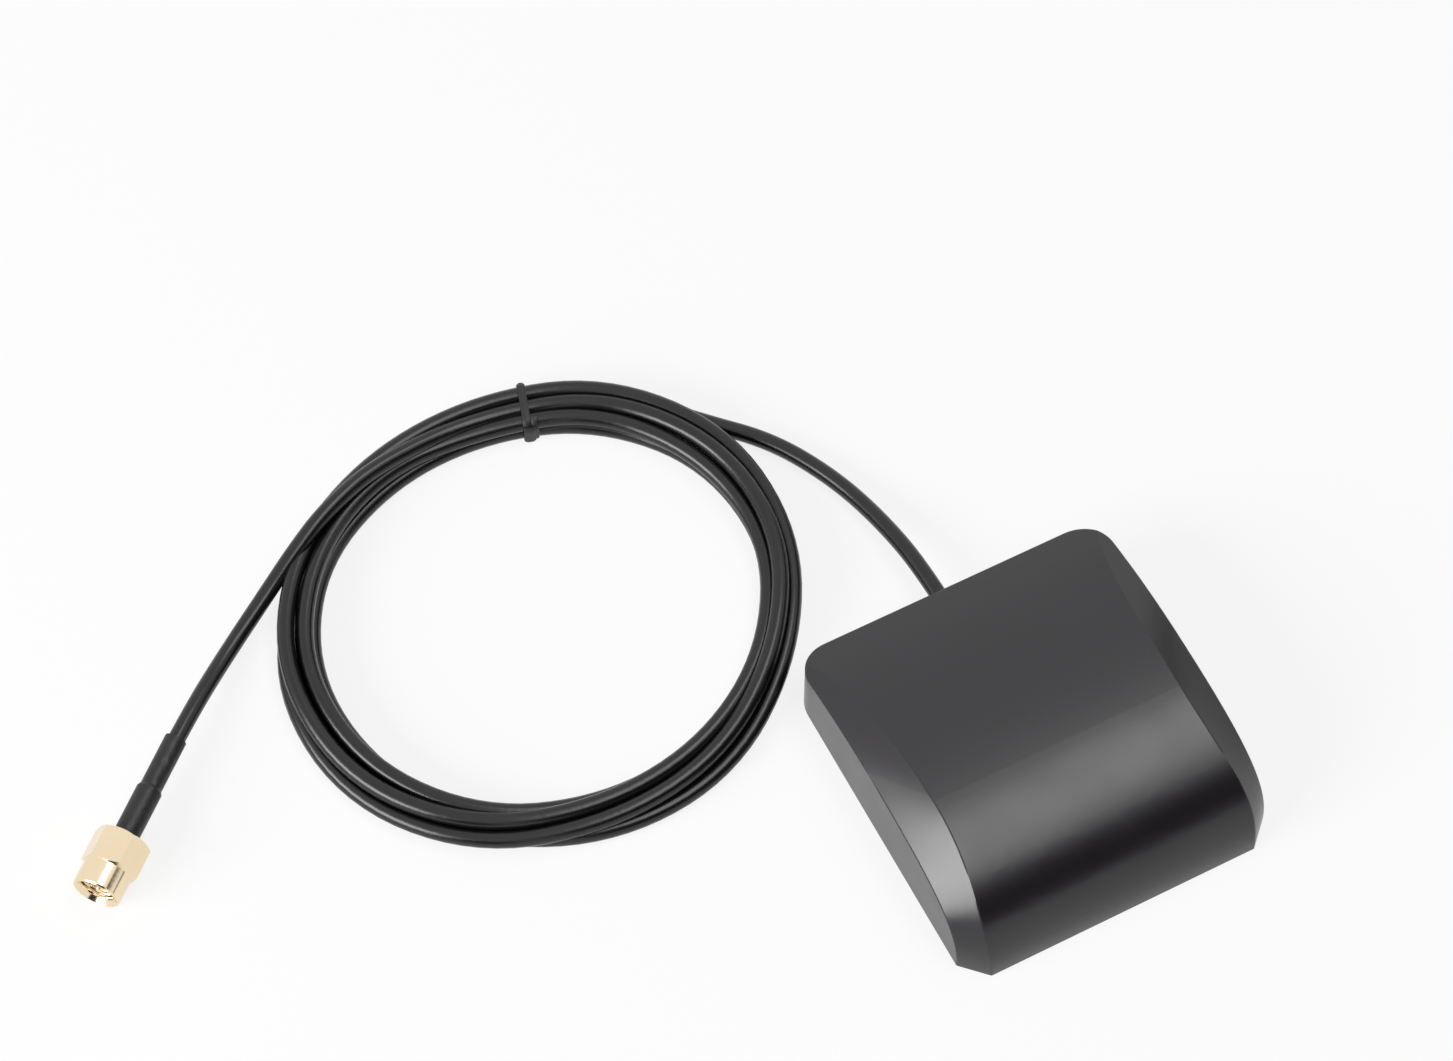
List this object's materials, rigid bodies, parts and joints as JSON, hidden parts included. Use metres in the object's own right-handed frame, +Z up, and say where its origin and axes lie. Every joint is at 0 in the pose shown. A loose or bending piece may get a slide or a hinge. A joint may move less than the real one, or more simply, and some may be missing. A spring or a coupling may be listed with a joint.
{
  "type": "gps antenna",
  "caption": "Low magnetic puck antenna with a rolled front and bevelled sides, its thin coaxial lead wound in a tied coil, ending in a gold hexagon-nut coaxial plug.",
  "frame": {"origin": "centre of the puck's underside, on the surface that it stands on", "axes": "+Z up, +Y to the back wall where the lead leaves, -Y to the front where the top rolls down, +X to the puck's right side seen from the front"},
  "size_m": [0.1662, 0.1268, 0.0169],
  "materials": {
    "cover_plastic": "satin moulded ABS, charcoal black",
    "base_plastic": "matt moulded ABS, black",
    "gasket_rubber": "soft silicone rubber",
    "screw_steel": "zinc plated steel",
    "magnet_steel": "sintered magnet, nickel plated",
    "board": "glass epoxy board with green mask",
    "adhesive": "double-sided foam tape",
    "silver": "fired silver metallisation, dull",
    "ceramic": "fired dielectric ceramic, beige",
    "tin": "tinned or soldered metal",
    "can_steel": "tinned steel sheet",
    "chip_epoxy": "black moulding epoxy",
    "filter_metal": "gold-washed metal lid",
    "chip_ceramic": "fired chip ceramic",
    "core_plastic": "white polyethylene insulation",
    "cable_jacket": "satin black PVC jacket",
    "tie_plastic": "matt black tie",
    "shrink": "matt black heat-shrink sleeve",
    "gold_brass": "gold-plated brass",
    "braid": "tinned copper braid",
    "insulator": "white PTFE",
    "seal": "red-brown silicone rubber"
  },
  "bodies": {
    "antenna": {"top_cover": "cover_plastic", "base_cover": "base_plastic", "seal_gasket": "gasket_rubber", "base_screws": "screw_steel", "magnets": "magnet_steel", "circuit_board": "board", "board_screws": "screw_steel", "patch_adhesive": "adhesive", "ground_electrode": "silver", "ceramic_patch": "ceramic", "patch_electrode": "silver", "feed_pin": "tin", "shield_can": "can_steel", "amplifier_chip": "chip_epoxy", "band_filter": "filter_metal", "voltage_regulator": "chip_epoxy", "small_components": "chip_ceramic", "signal_joint": "tin", "cable_core": "core_plastic", "crimp_ring": "gold_brass", "strain_relief": "shrink", "cable_lead": "cable_jacket", "cable_coil": "cable_jacket", "cable_tie": "tie_plastic", "cable_tail": "cable_jacket", "heat_shrink": "shrink", "crimp_ferrule": "gold_brass", "crimped_braid": "braid", "connector_body": "gold_brass", "connector_dielectric": "insulator", "centre_contact": "gold_brass", "mating_seal": "seal", "snap_ring": "gold_brass"},
    "coupling": {"coupling_nut": "gold_brass"}
  },
  "joints": [
    {"name": "coupling_spin", "type": "hinge", "parent": "antenna", "child": "coupling", "pos_m": [-0.13328, 0.04709, 0.004], "axis": [-0.7593, -0.6508, 0], "continuous": true}
  ]
}
